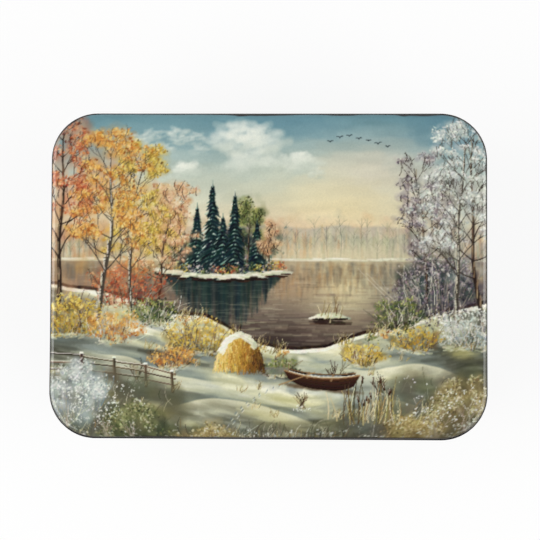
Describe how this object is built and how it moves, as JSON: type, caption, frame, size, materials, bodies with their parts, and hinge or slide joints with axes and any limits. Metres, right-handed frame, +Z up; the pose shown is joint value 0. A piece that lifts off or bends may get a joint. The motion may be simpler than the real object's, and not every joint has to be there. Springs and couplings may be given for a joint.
{
  "type": "lacquer box",
  "caption": "Low rectangular papier-mache box with rounded corners, a crowned painted lid on brass hinges and a lined inside.",
  "frame": {"origin": "middle of the underside of the closed box, on the surface that it stands on", "axes": "+X along the box to the right, +Y from its front to its hinged back, +Z up through the lid"},
  "size_m": [0.156, 0.1164, 0.0429],
  "materials": {
    "black_lacquer": "black lacquer over papier-mache, rubbed and varnished to a deep gloss",
    "red_lacquer": "red lacquer inside, varnished",
    "painted_skin": "fine brush painting under many coats of clear varnish",
    "hinge_brass": "rolled brass, lightly polished",
    "nail_brass": "brass nail heads, filed flush",
    "pin_steel": "drawn steel wire"
  },
  "bodies": {
    "box": {"body_wall": "black_lacquer", "inner_collar": "red_lacquer", "base_board": "black_lacquer", "floor_card": "red_lacquer", "hinge_box_leaf_left": "hinge_brass", "hinge_box_leaf_right": "hinge_brass", "hinge_pin_left": "pin_steel", "hinge_pin_right": "pin_steel", "hinge_nails_box": "nail_brass"},
    "lid": {"lid_rim": "black_lacquer", "lid_board": "black_lacquer", "lid_card": "red_lacquer", "lid_picture": "painted_skin", "hinge_lid_leaf_left": "hinge_brass", "hinge_lid_leaf_right": "hinge_brass", "hinge_nails_lid": "nail_brass"}
  },
  "joints": [
    {"name": "lid_hinge", "type": "hinge", "parent": "box", "child": "lid", "pos_m": [0, 0.0566, 0.0305], "axis": [-1, 0, 0], "range_deg": [0, 105]}
  ]
}
